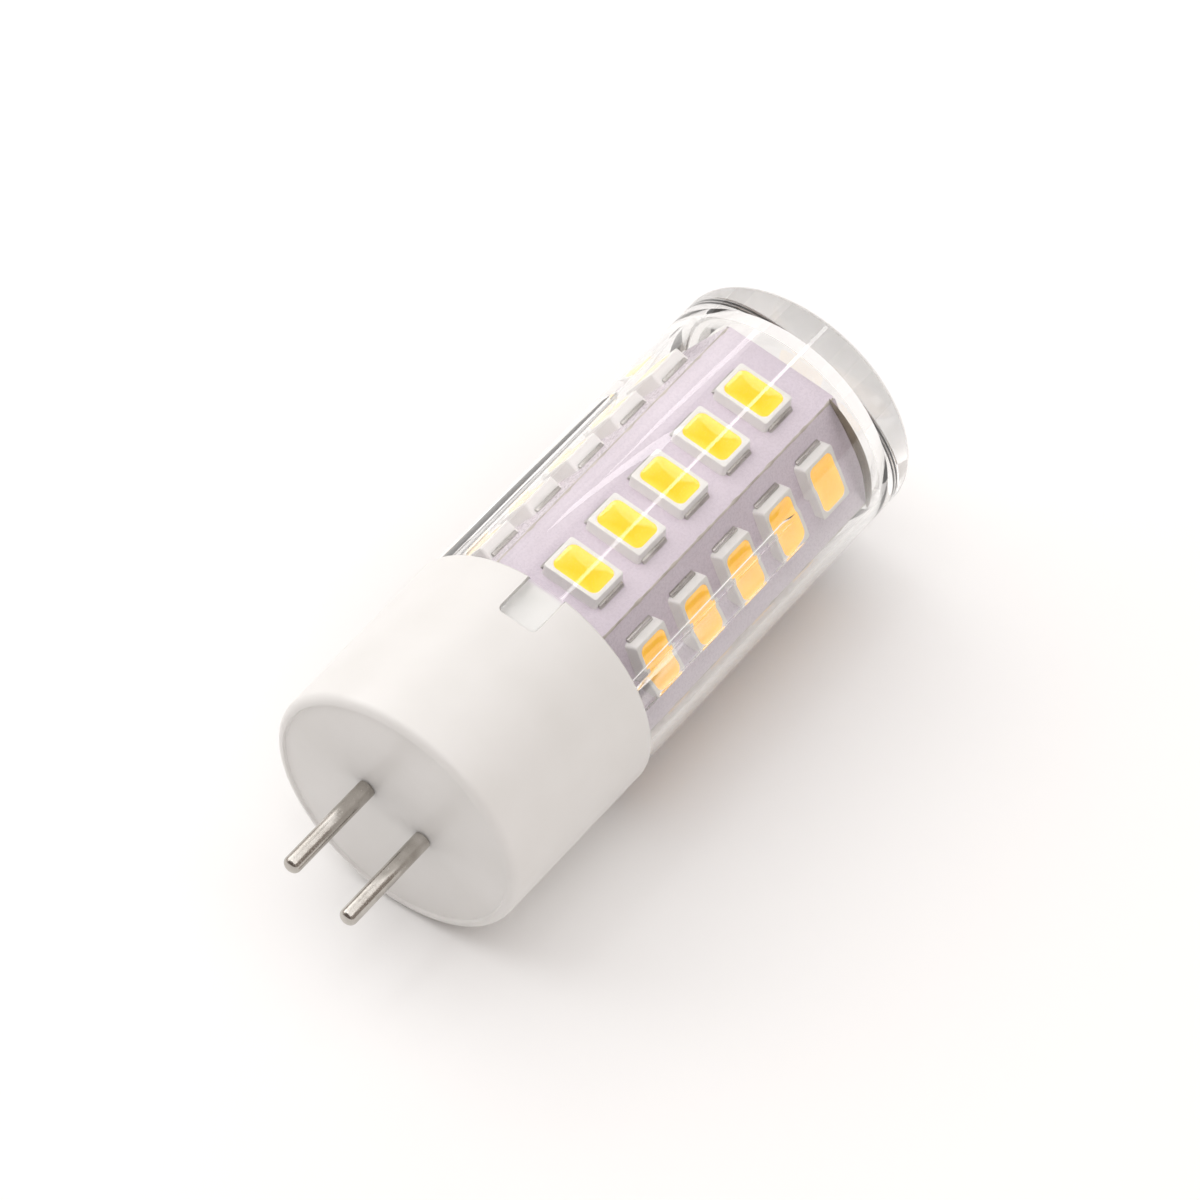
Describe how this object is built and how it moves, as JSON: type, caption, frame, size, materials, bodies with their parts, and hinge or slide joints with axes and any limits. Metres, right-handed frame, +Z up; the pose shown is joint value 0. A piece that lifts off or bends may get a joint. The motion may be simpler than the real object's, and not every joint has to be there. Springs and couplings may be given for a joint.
{
  "type": "bi-pin led bulb",
  "caption": "Small capsule lamp: white base cup with bare contact pins, clear plastic cover over a six-sided column of boards carrying rows of surface-mount LEDs.",
  "frame": {"origin": "centre of the base's flat end face, between the pins, where the lamp seats on a holder", "axes": "+X along the lamp to its clear end, pins towards -X, +Z up as it lies in the picture"},
  "size_m": [0.0436, 0.0162, 0.0162],
  "materials": {
    "base_white": "satin moulded, slightly milky",
    "cover_clear": "clear moulded, polished",
    "pin_metal": "bright drawn wire",
    "driver_laminate": "satin solder mask",
    "board_white": "white solder mask, satin",
    "led_white": "moulded, satin",
    "phosphor": "cast silicone, glossy",
    "solder": "tinned, bright",
    "chip_black": "moulded, matt",
    "ferrite": "pressed, matt",
    "can_metal": "drawn can",
    "resistor_black": "fired film, satin"
  },
  "bodies": {
    "root": {"base_housing": "base_white", "clear_cover": "cover_clear", "contact_pin_1": "pin_metal", "contact_pin_2": "pin_metal", "driver_board": "driver_laminate", "foot_board": "driver_laminate", "bridge_rectifier": "chip_black", "driver_chip": "chip_black", "power_inductor": "ferrite", "smoothing_capacitor": "can_metal", "sense_resistor_1": "resistor_black", "sense_resistor_2": "resistor_black", "feed_lead_1": "pin_metal", "feed_lead_2": "pin_metal", "end_board": "board_white", "led_board_1": "board_white", "led_board_2": "board_white", "led_board_3": "board_white", "led_board_4": "board_white", "led_board_5": "board_white", "led_board_6": "board_white", "led_body_1_1": "led_white", "led_body_1_2": "led_white", "led_body_1_3": "led_white", "led_body_1_4": "led_white", "led_body_1_5": "led_white", "led_body_2_1": "led_white", "led_body_2_2": "led_white", "led_body_2_3": "led_white", "led_body_2_4": "led_white", "led_body_2_5": "led_white", "led_body_3_1": "led_white", "led_body_3_2": "led_white", "led_body_3_3": "led_white", "led_body_3_4": "led_white", "led_body_3_5": "led_white", "led_body_4_1": "led_white", "led_body_4_2": "led_white", "led_body_4_3": "led_white", "led_body_4_4": "led_white", "led_body_4_5": "led_white", "led_body_5_1": "led_white", "led_body_5_2": "led_white", "led_body_5_3": "led_white", "led_body_5_4": "led_white", "led_body_5_5": "led_white", "led_body_6_1": "led_white", "led_body_6_2": "led_white", "led_body_6_3": "led_white", "led_body_6_4": "led_white", "led_body_6_5": "led_white", "end_led_body_1": "led_white", "end_led_body_2": "led_white", "end_led_body_3": "led_white", "side_phosphors": "phosphor", "end_phosphors": "phosphor", "side_led_terminals": "solder", "end_led_terminals": "solder"}
  },
  "joints": []
}
